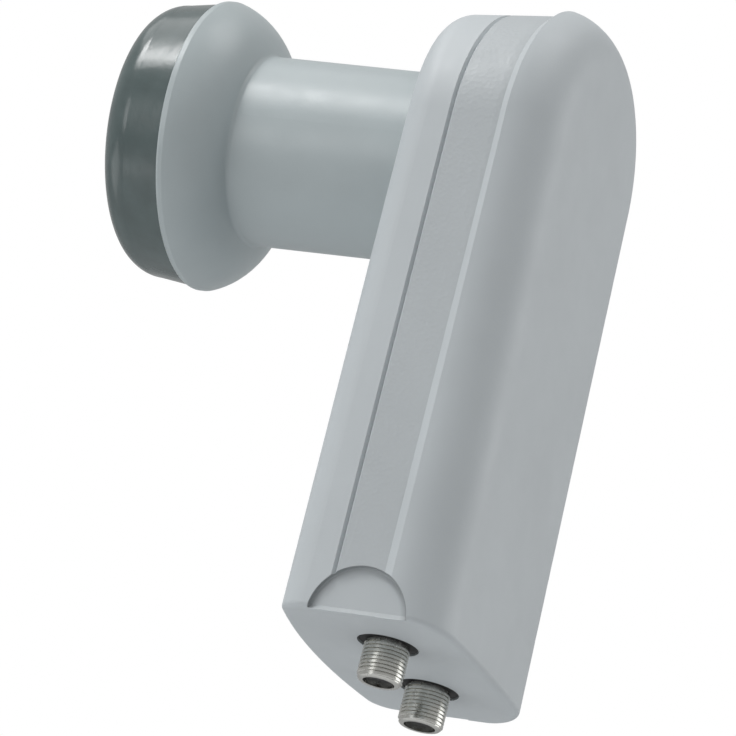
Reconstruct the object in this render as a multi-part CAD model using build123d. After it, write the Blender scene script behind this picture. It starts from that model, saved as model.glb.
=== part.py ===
from build123d import *
import os
from math import cos, radians, sin, sqrt

# Twin-output satellite low-noise block for a 40 mm feed clamp, in millimetres.
# Frame: +Z up, the horn looks along -Y, the two outputs point down, the width runs along X.
# The origin lies on the neck axis, midway along the clamping neck.

# Clamping neck
NECK_R = 20.0
NECK_LENGTH = 38.7
NECK_FILLET = 1.0
SPIGOT_STEP = 0.5

# Feed horn
BELL_R = 30.6
BELL_LENGTH = 11.5
BELL_RIM = 1.4
BELL_RIM_R = 0.5
BELL_SHOULDER_DROP = 2.7
CAP_LAND_STEP = 2.4
HORN_OVERHANG = 7.0
MOUTH_R = 16.0
GUIDE_R = 9.0
GUIDE_LENGTH = 40.0
CHOKE_RINGS = 2
CHOKE_DEPTH = 6.0
CORE_WALL = 3.0
GUIDE_WALL = 4.5
CORE_DEPTH = 36.0
CORE_RIB = 7.5

# Feed cap
CAP_WALL = 1.6
CAP_HEIGHT = 14.5
CAP_DOME = 1.4
CAP_TAPER = 1.1
CAP_EDGE_R = 6.4
CAP_SEAL_R = 0.9

# Case
CASE_WIDTH = 63.8
CASE_DEPTH = 38.6
CASE_DROP = 108.0
CASE_WALL = 2.6
HEAD_RISE = 1.8
HEAD_TILT = 0.08
REAR_RISE = 0.6
REAR_TILT = -0.05
REAR_LEAN = 0.025
FRONT_CROWN = 3.3
REAR_CROWN = 1.0
FRONT_EDGE_R = 6.2
REAR_EDGE_R = 12.4
FOOT_EDGE_R = 1.2
SEAM_SETBACK = 13.6
SEAM_GROOVE = 1.1
SEAM_GROOVE_DEPTH = 0.7
STEP_SETBACK = 26.2
STEP_HEIGHT = 0.8
STEP_SLOPE = 2.0
SCOOP_R = 10.6
SCOOP_SETBACK = 20.2
SCOOP_DROP = 0.5
SCOOP_DEPTH = 1.2
SCOOP_LIP = 0.6
SCOOP_RAMP = 1.1
SCOOP_CORNER_R = 0.4
LIP_WALL = 1.2
TONGUE_HEIGHT = 2.8
CASE_SEAL_HEIGHT = 0.8
CASE_SCREW_R = 1.3
CASE_BOSS_R = 3.2
CASE_SCREW_LENGTH = 16.0
CASE_SCREW_SUNK = 5.2
HOLD_POST_R = 2.2

# Neck seal and its seat in the front shell
NECK_SEAL_WIDTH = 2.6
NECK_SEAL_THICKNESS = 1.0

# Chassis tray, board and shield
TRAY_MARGIN = 8.4
TRAY_CLEARANCE = 0.75
FLOOR_THICKNESS = 2.5
TRAY_WALL = 2.2
END_WALL = 4.0
POST_R = 2.4
POST_ROWS = 3
FIRST_POST_DROP = 20.0
BOARD_THICKNESS = 0.8
BOARD_GAP = 0.3
SHIELD_THICKNESS = 2.0
SHIELD_RIB = 1.5
SHIELD_SCREW_R = 0.95
SHIELD_SCREW_LENGTH = 8.0
HORN_SCREW_R = 1.4
HORN_SCREW_LENGTH = 11.0
PAD_THICKNESS = 1.0

# Probes
PROBE_R = 0.5
PROBE_SLEEVE_R = 1.5
PROBE_REACH = 5.4
VERTICAL_PROBE_DEPTH = 12.0
HORIZONTAL_PROBE_DEPTH = 20.0

# Parts on the board
RESONATOR_R = 2.9
RESONATOR_HEIGHT = 2.4
TUNING_SCREW_R = 1.5
TUNING_SCREW_LENGTH = 9.0
TUNING_GAP = 4.0
TRANSISTOR_WIDTH = 2.0
TRANSISTOR_HEIGHT = 1.3
TRANSISTOR_THICKNESS = 0.9
TRANSISTOR_DROP = 4.0
TRANSISTOR_PITCH = 4.5
CONVERTER_SIDE = 6.0
CONVERTER_THICKNESS = 1.4
CONVERTER_RISE = 9.0
REGULATOR_WIDTH = 6.5
REGULATOR_HEIGHT = 4.0
REGULATOR_THICKNESS = 2.0
REGULATOR_DROP = 7.0

# Outputs, with a 3/8 inch thread
OUTPUT_SPACING = 27.0
OUTPUT_R = 4.76
OUTPUT_REACH = 8.1
OUTPUT_BORE_R = 3.3
OUTPUT_CHAMFER = 0.4
RELIEF_R = 4.2
RELIEF_GAP = 0.3
FLANGE_ACROSS = 10.4
FLANGE_THICKNESS = 1.6
STUB_R = 5.0
WELL_R = 6.4
WELL_WALL = 1.1
WASHER_THICKNESS = 2.4
WASHER_SUNK = 0.4
INSULATOR_SUNK = 1.2
CONTACT_SOCKET = 7.0
CONTACT_R = 0.9
CONTACT_BORE_R = 0.45
TAIL_R = 0.45

# Clearance of pieces that fit into each other
FIT = 0.05
SLIDE = 0.2

# Stations across and along the case that follow from the sizes
HALF = CASE_WIDTH / 2
REACH = HALF + STEP_HEIGHT
HEAD = REACH + HEAD_RISE + REAR_RISE + HEAD_TILT * CASE_DEPTH
FOOT = -CASE_DROP
PAD_X = HALF - SCOOP_DEPTH
WELL_DEPTH = FLANGE_THICKNESS + WASHER_THICKNESS + WASHER_SUNK
SCOOP_TOP = FOOT - SCOOP_DROP + SCOOP_R
BOSS_X = PAD_X - CASE_WALL - CASE_BOSS_R + LIP_WALL / 3
BOSS_Z = FOOT + CASE_WALL + CASE_BOSS_R - LIP_WALL / 3
TRAY_HALF = HALF - TRAY_MARGIN
TRAY_FOOT = max(BOSS_Z + CASE_BOSS_R, FOOT + WELL_DEPTH + CASE_WALL) + TRAY_CLEARANCE
CAVITY_HALF = TRAY_HALF - TRAY_WALL
CAVITY_FOOT = TRAY_FOOT + END_WALL
WELL_FLOOR = FOOT + WELL_DEPTH
FLANGE_FACE = WELL_FLOOR - FLANGE_THICKNESS
WASHER_FACE = FLANGE_FACE - WASHER_THICKNESS
OUTPUT_TIP = FOOT - OUTPUT_REACH

# Radii about the neck axis
CAP_LAND_R = BELL_R - CAP_LAND_STEP
SPIGOT_R = NECK_R - SPIGOT_STEP
PROBE_RADIUS = GUIDE_R + GUIDE_WALL / 2
HORN_SCREW_RADIUS = (GUIDE_R + GUIDE_WALL + NECK_R - CORE_WALL) / 2
FRONT_CROWN_R = (HALF ** 2 + FRONT_CROWN ** 2) / (2 * FRONT_CROWN)
REAR_CROWN_R = (HALF ** 2 + REAR_CROWN ** 2) / (2 * REAR_CROWN)

# Stations along Y
BELL_ROOT = -NECK_LENGTH / 2
BELL_FRONT = BELL_ROOT - BELL_LENGTH
HORN_MOUTH = BELL_FRONT - HORN_OVERHANG
CASE_FRONT = NECK_LENGTH / 2
CASE_REAR = CASE_FRONT + CASE_DEPTH
SEAM = CASE_FRONT + SEAM_SETBACK
STEP = CASE_FRONT + STEP_SETBACK
SCREW_SEAT = CASE_FRONT + CASE_SCREW_SUNK
OUTPUT_Y = SEAM + WELL_WALL + WELL_R
SCOOP_Y = CASE_FRONT + SCOOP_SETBACK
TRAY_FRONT = CASE_FRONT + CASE_WALL + FRONT_CROWN * (TRAY_HALF / HALF) ** 2 + SLIDE
SEAT = TRAY_FRONT - NECK_SEAL_THICKNESS
FLOOR = TRAY_FRONT + FLOOR_THICKNESS
BOARD_TOP = FLOOR + BOARD_THICKNESS
TRAY_REAR = OUTPUT_Y + STUB_R + TRAY_WALL
SHIELD_REAR = TRAY_REAR + SHIELD_THICKNESS
THROAT = TRAY_FRONT - GUIDE_LENGTH


def bar_y(radius, start, end, x=0.0, z=0.0):
    """Round bar along Y between two stations."""
    bar = Cylinder(radius, end - start, align=(Align.CENTER, Align.CENTER, Align.MIN))
    return Pos(x, start, z) * Rot(-90, 0, 0) * bar


def bar_z(radius, start, end, x=0.0, y=0.0):
    """Round bar along Z between two heights."""
    bar = Cylinder(radius, end - start, align=(Align.CENTER, Align.CENTER, Align.MIN))
    return Pos(x, y, start) * bar


def block(x_range, y_range, z_range):
    """Box between pairs of limits."""
    lows = [min(pair) for pair in (x_range, y_range, z_range)]
    sizes = [abs(pair[1] - pair[0]) for pair in (x_range, y_range, z_range)]
    return Pos(*lows) * Box(*sizes, align=(Align.MIN, Align.MIN, Align.MIN))


def upright(outline, start, end):
    """Extrude an outline drawn in X and Z along Y."""
    return extrude(Plane.XZ.offset(-start) * outline, end - start, dir=(0, 1, 0))


def front_rise(station):
    """Height of the head's spring line, which rises towards the rear."""
    return HEAD_RISE + HEAD_TILT * (station - SEAM)


def rear_rise(station):
    """Height of the spring line in the raised rear part, which falls again behind the step."""
    return front_rise(STEP) + REAR_RISE + REAR_TILT * (station - STEP)


def case_outline(half, station, rise):
    """Arch of the case at a station along Y, open below the foot."""
    return Plane.XZ.offset(-station) * arch(half, FOOT - CASE_WALL, rise(station))


def between(start, end, half, next_half, rise=front_rise, next_rise=front_rise):
    """Solid between the case's outlines at two stations."""
    return loft([case_outline(half, start, rise), case_outline(next_half, end, next_rise)], ruled=True)


def turned(profile):
    """Turn a profile drawn as radius and station about the neck axis."""
    return revolve(profile, Axis.Y)


def arch(half, foot, spring=0.0):
    """Tombstone outline: straight sides up to the spring line, half round head above it."""
    sides = Polyline((-half, spring), (-half, foot), (half, foot), (half, spring))
    head = ThreePointArc((half, spring), (0, half + spring), (-half, spring))
    return make_face(sides + head)


def bent_wire(radius, points, bend):
    """Round wire through points with rounded bends."""
    path = FilletPolyline(*points, radius=bend)
    return sweep(Plane(path @ 0, z_dir=path % 0) * Circle(radius), path)


def sides_of(piece):
    """The piece and its mirror image across the middle plane."""
    return [piece, mirror(piece, Plane.YZ)]


def feed_horn():
    """Bell, clamping neck and waveguide, cast in one."""
    rim_back = BELL_FRONT + BELL_RIM
    outside = Polyline((GUIDE_R, TRAY_FRONT), (SPIGOT_R, TRAY_FRONT), (SPIGOT_R, CASE_FRONT),
                       (NECK_R, CASE_FRONT), (NECK_R, BELL_ROOT))
    middle = (BELL_R - BELL_SHOULDER_DROP, (rim_back + BELL_ROOT) / 2)
    back = ThreePointArc((BELL_R, rim_back), middle, (NECK_R, BELL_ROOT))
    inside = Polyline((BELL_R, rim_back), (BELL_R, BELL_FRONT), (CAP_LAND_R, BELL_FRONT),
                      (CAP_LAND_R, HORN_MOUTH), (MOUTH_R, HORN_MOUTH), (GUIDE_R, THROAT),
                      (GUIDE_R, TRAY_FRONT))
    horn = turned(make_face(outside + back + inside))
    root = [edge for edge in horn.edges().filter_by(GeomType.CIRCLE)
            if abs(edge.radius - NECK_R) < FIT and abs(edge.arc_center.Y - BELL_ROOT) < FIT]
    horn = fillet(root, NECK_FILLET)
    rim = [edge for edge in horn.edges().filter_by(GeomType.CIRCLE) if abs(edge.radius - BELL_R) < FIT]
    horn = fillet(rim, BELL_RIM_R)
    horn -= cap_groove()
    pitch = (CAP_LAND_R - MOUTH_R) / (2 * CHOKE_RINGS + 1)
    for ring in range(CHOKE_RINGS):
        inner = MOUTH_R + pitch * (2 * ring + 1)
        slot = bar_y(inner + pitch, HORN_MOUTH, HORN_MOUTH + CHOKE_DEPTH)
        horn -= slot - bar_y(inner, HORN_MOUTH, HORN_MOUTH + CHOKE_DEPTH)
    horn -= horn_core()
    for x, z in horn_screw_places():
        horn -= bar_y(HORN_SCREW_R + FIT, FLOOR - HORN_SCREW_LENGTH - FIT, TRAY_FRONT, x, z)
    for depth, angle in ((VERTICAL_PROBE_DEPTH, 0), (HORIZONTAL_PROBE_DEPTH, 90)):
        horn -= probe_way(depth, angle)
    return horn


def horn_core():
    """Hollow round the waveguide that keeps the neck casting to an even wall, with four screw ribs."""
    start = TRAY_FRONT - CORE_DEPTH
    core = bar_y(NECK_R - CORE_WALL, start, TRAY_FRONT) - bar_y(GUIDE_R + GUIDE_WALL, start, TRAY_FRONT)
    rib = block((-CORE_RIB / 2, CORE_RIB / 2), (start, TRAY_FRONT), (-NECK_R, NECK_R))
    for angle in (45, 135):
        core -= Rot(0, angle, 0) * rib
    return core


def horn_screw_places():
    """Four places on the diagonals round the waveguide."""
    reach = HORN_SCREW_RADIUS / sqrt(2)
    return [(x * reach, z * reach) for x in (-1, 1) for z in (-1, 1)]


def probe_way(depth, angle):
    """Bore and slot for one probe, cut from the rear of the horn."""
    tip = TRAY_FRONT - depth
    bore = bar_y(PROBE_SLEEVE_R + FIT, tip - PROBE_SLEEVE_R, TRAY_FRONT, 0, -PROBE_RADIUS)
    slot = block((-2 * PROBE_R, 2 * PROBE_R), (tip - 2 * PROBE_R, TRAY_FRONT), (-PROBE_RADIUS, -GUIDE_R / 2))
    return Rot(0, -angle, 0) * (bore + slot)


def cap_groove():
    """Groove in the cap land for the cap seal."""
    middle = HORN_MOUTH + HORN_OVERHANG / 3
    depth = 2 * CAP_SEAL_R - SLIDE
    groove = bar_y(CAP_LAND_R + SLIDE, middle - CAP_SEAL_R - FIT, middle + CAP_SEAL_R + FIT)
    return groove - bar_y(CAP_LAND_R - depth, middle - CAP_SEAL_R - FIT, middle + CAP_SEAL_R + FIT)


def cap_seal():
    """O-ring between the cap skirt and the horn."""
    middle = HORN_MOUTH + HORN_OVERHANG / 3
    section = Pos(CAP_LAND_R + SLIDE - CAP_SEAL_R, middle) * Circle(CAP_SEAL_R)
    return turned(section)


def crowned(radius, reach):
    """Fall of a crowned face at a distance from its middle."""
    return radius - sqrt(radius ** 2 - reach ** 2)


def feed_cap():
    """Thin moulded cup pushed over the horn mouth, with a slightly domed front."""
    skirt_inside = CAP_LAND_R + SLIDE
    skirt = skirt_inside + CAP_WALL
    shoulder = BELL_FRONT - CAP_HEIGHT
    front_r = skirt - CAP_TAPER
    flat_r = front_r - CAP_EDGE_R
    wall_r = skirt_inside - CAP_TAPER
    dome_r = (flat_r ** 2 + CAP_DOME ** 2) / (2 * CAP_DOME)
    rounds = []
    domes = []
    for station, edge_r in ((shoulder, CAP_EDGE_R), (shoulder + CAP_WALL, wall_r - flat_r)):
        turn = edge_r / sqrt(2)
        middle = (flat_r / 2, station - CAP_DOME + crowned(dome_r, flat_r / 2))
        domes.append(ThreePointArc((flat_r, station), middle, (0, station - CAP_DOME)))
        rounds.append(ThreePointArc((flat_r, station), (flat_r + turn, station + edge_r - turn),
                                    (flat_r + edge_r, station + edge_r)))
    axis = Line(domes[0] @ 1, domes[1] @ 1)
    skirt_lines = Polyline(rounds[1] @ 1, (skirt_inside, HORN_MOUTH), (skirt_inside, BELL_FRONT),
                           (skirt, BELL_FRONT), rounds[0] @ 1)
    return turned(make_face(domes[0] + axis + domes[1] + rounds[1] + skirt_lines + rounds[0]))


def crowned_column(front, rear, reach, inset, lean):
    """Column up from the foot between crowned faces, leaning forwards by a share of its height."""
    side_front = front + crowned(FRONT_CROWN_R - inset, reach)
    side_rear = rear - crowned(REAR_CROWN_R - inset, reach)
    section = make_face(
        ThreePointArc((-reach, side_front), (0, front), (reach, side_front))
        + Line((reach, side_front), (reach, side_rear))
        + ThreePointArc((reach, side_rear), (0, rear), (-reach, side_rear))
        + Line((-reach, side_rear), (-reach, side_front)))
    return extrude(Pos(0, 0, FOOT + inset) * section, CASE_DROP + HEAD, dir=(0, -lean, 1))


def case_form(inset, half, rise):
    """The case of a half width, drawn in by an inset: upright front, leaning rear and rounded rims."""
    front = CASE_FRONT + inset
    rear = CASE_REAR - inset
    base = FOOT + inset
    form = crowned_column(front, rear + CASE_WALL, REACH, inset, 0)
    form = form & crowned_column(front - CASE_WALL, rear, REACH + CASE_WALL, inset, REAR_LEAN)
    form = form & between(CASE_FRONT, CASE_REAR, half - inset, half - inset, rise, rise)
    side_front = front + crowned(FRONT_CROWN_R - inset, REACH)
    side_rear = rear - crowned(REAR_CROWN_R - inset, REACH)
    ends = ((1, side_front, 0, FRONT_EDGE_R), (-1, side_rear, REAR_LEAN, REAR_EDGE_R))
    for near, station, lean, radius in ends:
        rim = []
        for edge in form.edges():
            height = edge.center().Z - base
            if height > FIT and near * (edge.center().Y + lean * height - station) < FIT:
                rim.append(edge)
        form = fillet(rim, max(radius - inset, FIT))
    return form


def scoop_pads():
    """Blocks that thicken both side walls behind the finger scoops."""
    pad = block((PAD_X - CASE_WALL, HALF), (CASE_FRONT, CASE_REAR), (FOOT, SCOOP_TOP + CASE_WALL))
    return sides_of(pad)


def case_hollow():
    """Inside of the case."""
    hollow = case_form(CASE_WALL, HALF, front_rise)
    for pad in scoop_pads():
        hollow -= pad
    return hollow


def finger_scoop():
    """Half-moon cut in a side wall, with a flat floor that runs out at the foot."""
    out = HALF + SCOOP_DEPTH
    ramp = make_face(Polyline((PAD_X, SCOOP_TOP), (out, SCOOP_TOP), (out, FOOT), (HALF - SCOOP_LIP, FOOT),
                              (PAD_X, FOOT + SCOOP_RAMP), close=True))
    moon = Cylinder(SCOOP_R, out - PAD_X, align=(Align.CENTER, Align.CENTER, Align.MIN))
    moon = fillet(moon.edges().sort_by(Axis.Z)[0], SCOOP_CORNER_R)
    moon = Pos(PAD_X, SCOOP_Y, FOOT - SCOOP_DROP) * Rot(0, 90, 0) * moon
    return moon & upright(ramp, SCOOP_Y - SCOOP_R, SCOOP_Y + SCOOP_R)


def seam_groove():
    """V-shaped groove round the case along the seam."""
    start = SEAM - SEAM_GROOVE / 2
    end = SEAM + SEAM_GROOVE / 2
    floor = HALF - SEAM_GROOVE_DEPTH
    inside = between(start, SEAM, HALF, floor) + between(SEAM, end, floor, HALF)
    return between(start, end, REACH, REACH) - inside


def softened_form(half, rise):
    """The full case of a half width with a softened foot."""
    form = case_form(0, half, rise)
    foot_edges = [edge for edge in form.edges() if edge.bounding_box().max.Z < FOOT + FIT]
    return fillet(foot_edges, FOOT_EDGE_R)


def raised_rear():
    """Rear part of the case, which stands a step proud of the rest behind a short slope."""
    slope = between(STEP - STEP_SLOPE, STEP, HALF, REACH, front_rise, rear_rise)
    behind = block((-REACH, REACH), (STEP, CASE_REAR), (FOOT, HEAD))
    return softened_form(REACH, rear_rise) & (slope + behind)


def case_skin():
    """Outside of the case: raised rear, seam groove, finger scoops and wells for the outputs."""
    skin = softened_form(HALF, front_rise) + raised_rear() - seam_groove()
    for scoop in sides_of(finger_scoop()):
        skin -= scoop
    for x in output_places():
        skin -= bar_z(WELL_R, FOOT, WELL_FLOOR, x, OUTPUT_Y)
    return skin


def seam_ring(outer, inner, start, end):
    """Ring that follows the case wall between two insets and steps in behind the scoops."""
    rings = []
    for inset in (outer, inner):
        half = HALF - inset
        notch = SCOOP_TOP + inset
        foot = FOOT + inset
        step = PAD_X - inset
        sides = Polyline((-half, HEAD_RISE), (-half, notch), (-step, notch), (-step, foot),
                         (step, foot), (step, notch), (half, notch), (half, HEAD_RISE))
        head = ThreePointArc((half, HEAD_RISE), (0, half + HEAD_RISE), (-half, HEAD_RISE))
        rings.append(upright(make_face(sides + head), start, end))
    return rings[0] - rings[1]


def case_screw_places():
    """Screw places in the two foot corners."""
    return [(-BOSS_X, BOSS_Z), (BOSS_X, BOSS_Z)]


def front_shell(skin, hollow):
    """Front half of the case, with the neck opening and sunk screw seats."""
    ahead = block((-CASE_WIDTH, CASE_WIDTH), (CASE_FRONT, SEAM), (FOOT, HEAD))
    wall = skin - hollow
    seat = bar_y(SPIGOT_R + NECK_SEAL_WIDTH + CASE_WALL, CASE_FRONT, SEAT)
    bosses = [bar_y(CASE_BOSS_R, CASE_FRONT, SEAM, x, z) for x, z in case_screw_places()]
    shell = wall + (skin & (seat + bosses))
    shell = shell & ahead
    shell -= bar_y(SPIGOT_R + SLIDE, CASE_FRONT, SEAM)
    shell -= bar_y(SPIGOT_R + NECK_SEAL_WIDTH + SLIDE, SEAT, SEAM)
    for x, z in case_screw_places():
        shell -= bar_y(2 * CASE_SCREW_R + SLIDE, CASE_FRONT, SCREW_SEAT, x, z)
        shell -= bar_y(CASE_SCREW_R + SLIDE, SCREW_SEAT, SEAM, x, z)
    shell -= seam_ring(LIP_WALL, CASE_WALL, SEAM - TONGUE_HEIGHT - CASE_SEAL_HEIGHT, SEAM)
    return shell


def rear_shell(skin, hollow):
    """Rear half of the case, with the tongue that enters the front shell and the output wells."""
    behind = block((-CASE_WIDTH, CASE_WIDTH), (SEAM, CASE_REAR), (FOOT, HEAD))
    wall = skin - hollow
    bosses = [bar_y(CASE_BOSS_R, SEAM, CASE_REAR, x, z) for x, z in case_screw_places()]
    posts = [bar_y(HOLD_POST_R, SHIELD_REAR, CASE_REAR, x, z) for x, z in hold_places()]
    wells = [bar_z(WELL_R + CASE_WALL, FOOT, WELL_FLOOR + CASE_WALL, x, OUTPUT_Y) for x in output_places()]
    shell = (wall + (skin & (bosses[0] + bosses[1:] + posts + wells))) & behind
    shell += seam_ring(LIP_WALL + FIT, CASE_WALL, SEAM - TONGUE_HEIGHT, SEAM)
    for x, z in case_screw_places():
        shell -= bar_y(CASE_SCREW_R + FIT, SEAM, SCREW_SEAT + CASE_SCREW_LENGTH + FIT, x, z)
    for x in output_places():
        shell -= bar_z(STUB_R + SLIDE, FOOT, WELL_FLOOR + CASE_WALL, x, OUTPUT_Y)
    return shell


def hold_places():
    """Places of the posts that press on the shield."""
    upper = -GUIDE_R
    lower = CAVITY_FOOT + GUIDE_R
    return [(x, z) for x in (-GUIDE_R, GUIDE_R) for z in (upper, lower)]


def case_seal():
    """Gasket at the bottom of the seam groove."""
    start = SEAM - TONGUE_HEIGHT - CASE_SEAL_HEIGHT
    return seam_ring(LIP_WALL + FIT, CASE_WALL, start, SEAM - TONGUE_HEIGHT)


def neck_seal():
    """Flat ring between the front shell and the chassis tray."""
    ring = bar_y(SPIGOT_R + NECK_SEAL_WIDTH, SEAT, TRAY_FRONT)
    return ring - bar_y(SPIGOT_R + SLIDE, SEAT, TRAY_FRONT)


def cap_screw(radius, head_r, head_height, seat, length, x, z, away):
    """Screw along Y with a round recessed head, its head on the given side of its seat."""
    head = bar_y(head_r, min(seat, seat + away * head_height), max(seat, seat + away * head_height), x, z)
    top = [edge for edge in head.edges().filter_by(GeomType.CIRCLE)
           if abs(edge.arc_center.Y - seat - away * head_height) < FIT]
    head = fillet(top, head_height / 3)
    recess_end = seat + away * head_height / 3
    recess = bar_y(head_r / 2.5, min(recess_end, seat + away * head_height),
                   max(recess_end, seat + away * head_height), x, z)
    tip = seat - away * length
    return head - recess + bar_y(radius, min(seat, tip), max(seat, tip), x, z)


def case_screws():
    """Two screws that close the case from the front."""
    return [cap_screw(CASE_SCREW_R, 2 * CASE_SCREW_R, 1.4 * CASE_SCREW_R, SCREW_SEAT,
                      CASE_SCREW_LENGTH, x, z, -1) for x, z in case_screw_places()]


def post_places():
    """Places of the shield screw posts: two on the round head, the rest in rows down both sides."""
    reach = CAVITY_HALF - POST_R / 2
    places = [(x * reach * cos(radians(45)), reach * sin(radians(45))) for x in (-1, 1)]
    last_drop = -(CAVITY_FOOT + POST_R / 2)
    for row in range(POST_ROWS):
        drop = FIRST_POST_DROP + (last_drop - FIRST_POST_DROP) * row / (POST_ROWS - 1)
        places += [(x * reach, -drop) for x in (-1, 1)]
    return places


def chassis():
    """Die-cast tray behind the neck: floor, walls, screw posts and a thick end wall for the outputs."""
    tray = upright(arch(TRAY_HALF, TRAY_FOOT), TRAY_FRONT, TRAY_REAR)
    cavity = upright(arch(CAVITY_HALF, CAVITY_FOOT), FLOOR, TRAY_REAR)
    for x, z in post_places():
        cavity -= bar_y(POST_R, FLOOR, TRAY_REAR, x, z)
    tray -= cavity
    for x, z in post_places():
        tray -= bar_y(SHIELD_SCREW_R + FIT, SHIELD_REAR - SHIELD_SCREW_LENGTH - FIT, TRAY_REAR, x, z)
    tray -= bar_y(GUIDE_R, TRAY_FRONT, FLOOR)
    for x, z in horn_screw_places():
        tray -= horn_screw_form(FIT, x, z)
    for angle in (0, 90):
        tray -= Rot(0, -angle, 0) * bar_y(PROBE_SLEEVE_R + FIT, TRAY_FRONT, FLOOR, 0, -PROBE_RADIUS)
    for x in output_places():
        tray -= bar_z(STUB_R + FIT, TRAY_FOOT, CAVITY_FOOT, x, OUTPUT_Y)
    return tray


def horn_screw_form(slack, x, z):
    """Countersunk screw from the tray floor into the horn, grown by a slack."""
    radius = HORN_SCREW_R + slack
    cone = Cone(radius, 2 * radius, radius, align=(Align.CENTER, Align.CENTER, Align.MIN))
    head = Pos(x, FLOOR - radius, z) * Rot(-90, 0, 0) * cone
    return head + bar_y(radius, FLOOR - HORN_SCREW_LENGTH - slack, FLOOR - radius, x, z)


def horn_screws():
    """Four screws that hold the horn on the tray."""
    return [horn_screw_form(0, x, z) for x, z in horn_screw_places()]


def circuit_board():
    """Board that lies on the tray floor and closes the waveguide."""
    board = upright(arch(CAVITY_HALF - BOARD_GAP, CAVITY_FOOT + BOARD_GAP), FLOOR, BOARD_TOP)
    for x, z in post_places():
        board -= bar_y(POST_R + BOARD_GAP, FLOOR, BOARD_TOP, x, z)
    for angle in (0, 90):
        board -= Rot(0, -angle, 0) * bar_y(PROBE_R + FIT, FLOOR, BOARD_TOP, 0, -PROBE_RADIUS)
    return board


def probe(depth, angle):
    """Bent wire that leaves the board, runs beside the waveguide and turns into it."""
    tip = TRAY_FRONT - depth
    end = -(GUIDE_R - PROBE_REACH)
    points = [(0, BOARD_TOP + PROBE_R, -PROBE_RADIUS), (0, tip, -PROBE_RADIUS), (0, tip, end)]
    return Rot(0, -angle, 0) * bent_wire(PROBE_R, points, 2 * PROBE_R)


def probe_sleeve(depth, angle):
    """Insulating tube round the straight run of a probe."""
    start = TRAY_FRONT - depth + 2 * PROBE_SLEEVE_R
    tube = bar_y(PROBE_SLEEVE_R, start, FLOOR, 0, -PROBE_RADIUS)
    tube -= bar_y(PROBE_R + FIT, start, FLOOR, 0, -PROBE_RADIUS)
    return Rot(0, -angle, 0) * tube


def rib_heights():
    """Heights of the shield's two cross ribs: below the waveguide, and between the lower post rows."""
    upper = -(GUIDE_R + GUIDE_WALL)
    lower = (post_places()[-1][1] + post_places()[-3][1]) / 2
    return upper, lower


def resonator_places():
    """One resonator on each side of the middle rib, below the upper cross rib."""
    upper, lower = rib_heights()
    x = CAVITY_HALF / 2
    return [(-x, (upper + lower) / 2), (x, (upper + lower) / 2)]


def shield_cover():
    """Cast lid on the tray with ribs that part the circuit into chambers."""
    plate = upright(arch(TRAY_HALF, TRAY_FOOT), TRAY_REAR, SHIELD_REAR)
    upper, lower = rib_heights()
    half_rib = SHIELD_RIB / 2
    middle = block((-half_rib, half_rib), (BOARD_TOP, TRAY_REAR), (CAVITY_FOOT + BOARD_GAP, upper))
    cover = plate + middle
    for height in (upper, lower):
        half = CAVITY_HALF - BOARD_GAP
        cover += block((-half, half), (BOARD_TOP, TRAY_REAR), (height - half_rib, height + half_rib))
    for x, z in post_places():
        cover -= bar_y(SHIELD_SCREW_R + SLIDE, TRAY_REAR, SHIELD_REAR, x, z)
    for x, z in resonator_places():
        cover -= bar_y(TUNING_SCREW_R + FIT, TRAY_REAR, SHIELD_REAR, x, z)
    return cover


def shield_screws():
    """Screws that hold the shield on its posts."""
    return [cap_screw(SHIELD_SCREW_R, 2 * SHIELD_SCREW_R, 1.3 * SHIELD_SCREW_R, SHIELD_REAR,
                      SHIELD_SCREW_LENGTH, x, z, 1) for x, z in post_places()]


def tuning_screws():
    """Slotted screws in the shield above the resonators."""
    tip = BOARD_TOP + RESONATOR_HEIGHT + TUNING_GAP
    screws = []
    for x, z in resonator_places():
        end = max(tip + TUNING_SCREW_LENGTH, SHIELD_REAR)
        slot = block((x - 2 * TUNING_SCREW_R, x + 2 * TUNING_SCREW_R), (end - TUNING_SCREW_R / 2, end),
                     (z - TUNING_SCREW_R / 5, z + TUNING_SCREW_R / 5))
        screws.append(bar_y(TUNING_SCREW_R, tip, end, x, z) - slot)
    return screws


def absorber_pads():
    """Lossy sheets under the shield, one in each lower chamber."""
    lower = rib_heights()[1] - SHIELD_RIB
    half_gap = SHIELD_RIB
    edge = CAVITY_HALF - 2 * POST_R
    pad = block((half_gap, edge), (TRAY_REAR - PAD_THICKNESS, TRAY_REAR), (CAVITY_FOOT + 2 * POST_R, lower))
    return sides_of(pad)


def resonators():
    """Ceramic pucks of the two local oscillators."""
    return [bar_y(RESONATOR_R, BOARD_TOP, BOARD_TOP + RESONATOR_HEIGHT, x, z) for x, z in resonator_places()]


def board_chip(width, height, thickness, x, z):
    """Moulded package on the board with softened top edges."""
    package = block((x - width / 2, x + width / 2), (BOARD_TOP, BOARD_TOP + thickness),
                    (z - height / 2, z + height / 2))
    return fillet(package.faces().sort_by(Axis.Y)[-1].edges(), thickness / 6)


def amplifier_transistors():
    """Low-noise transistors in two short chains between the probes and the oscillators."""
    start = rib_heights()[0] - TRANSISTOR_DROP
    return [board_chip(TRANSISTOR_WIDTH, TRANSISTOR_HEIGHT, TRANSISTOR_THICKNESS,
                       side * CAVITY_HALF / 3, start - TRANSISTOR_PITCH * step)
            for side in (-1, 1) for step in range(2)]


def converter_chips():
    """Mixer and switch packages, one below each oscillator."""
    z = rib_heights()[1] + CONVERTER_RISE
    return [board_chip(CONVERTER_SIDE, CONVERTER_SIDE, CONVERTER_THICKNESS, side * CAVITY_HALF / 2, z)
            for side in (-1, 1)]


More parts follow.
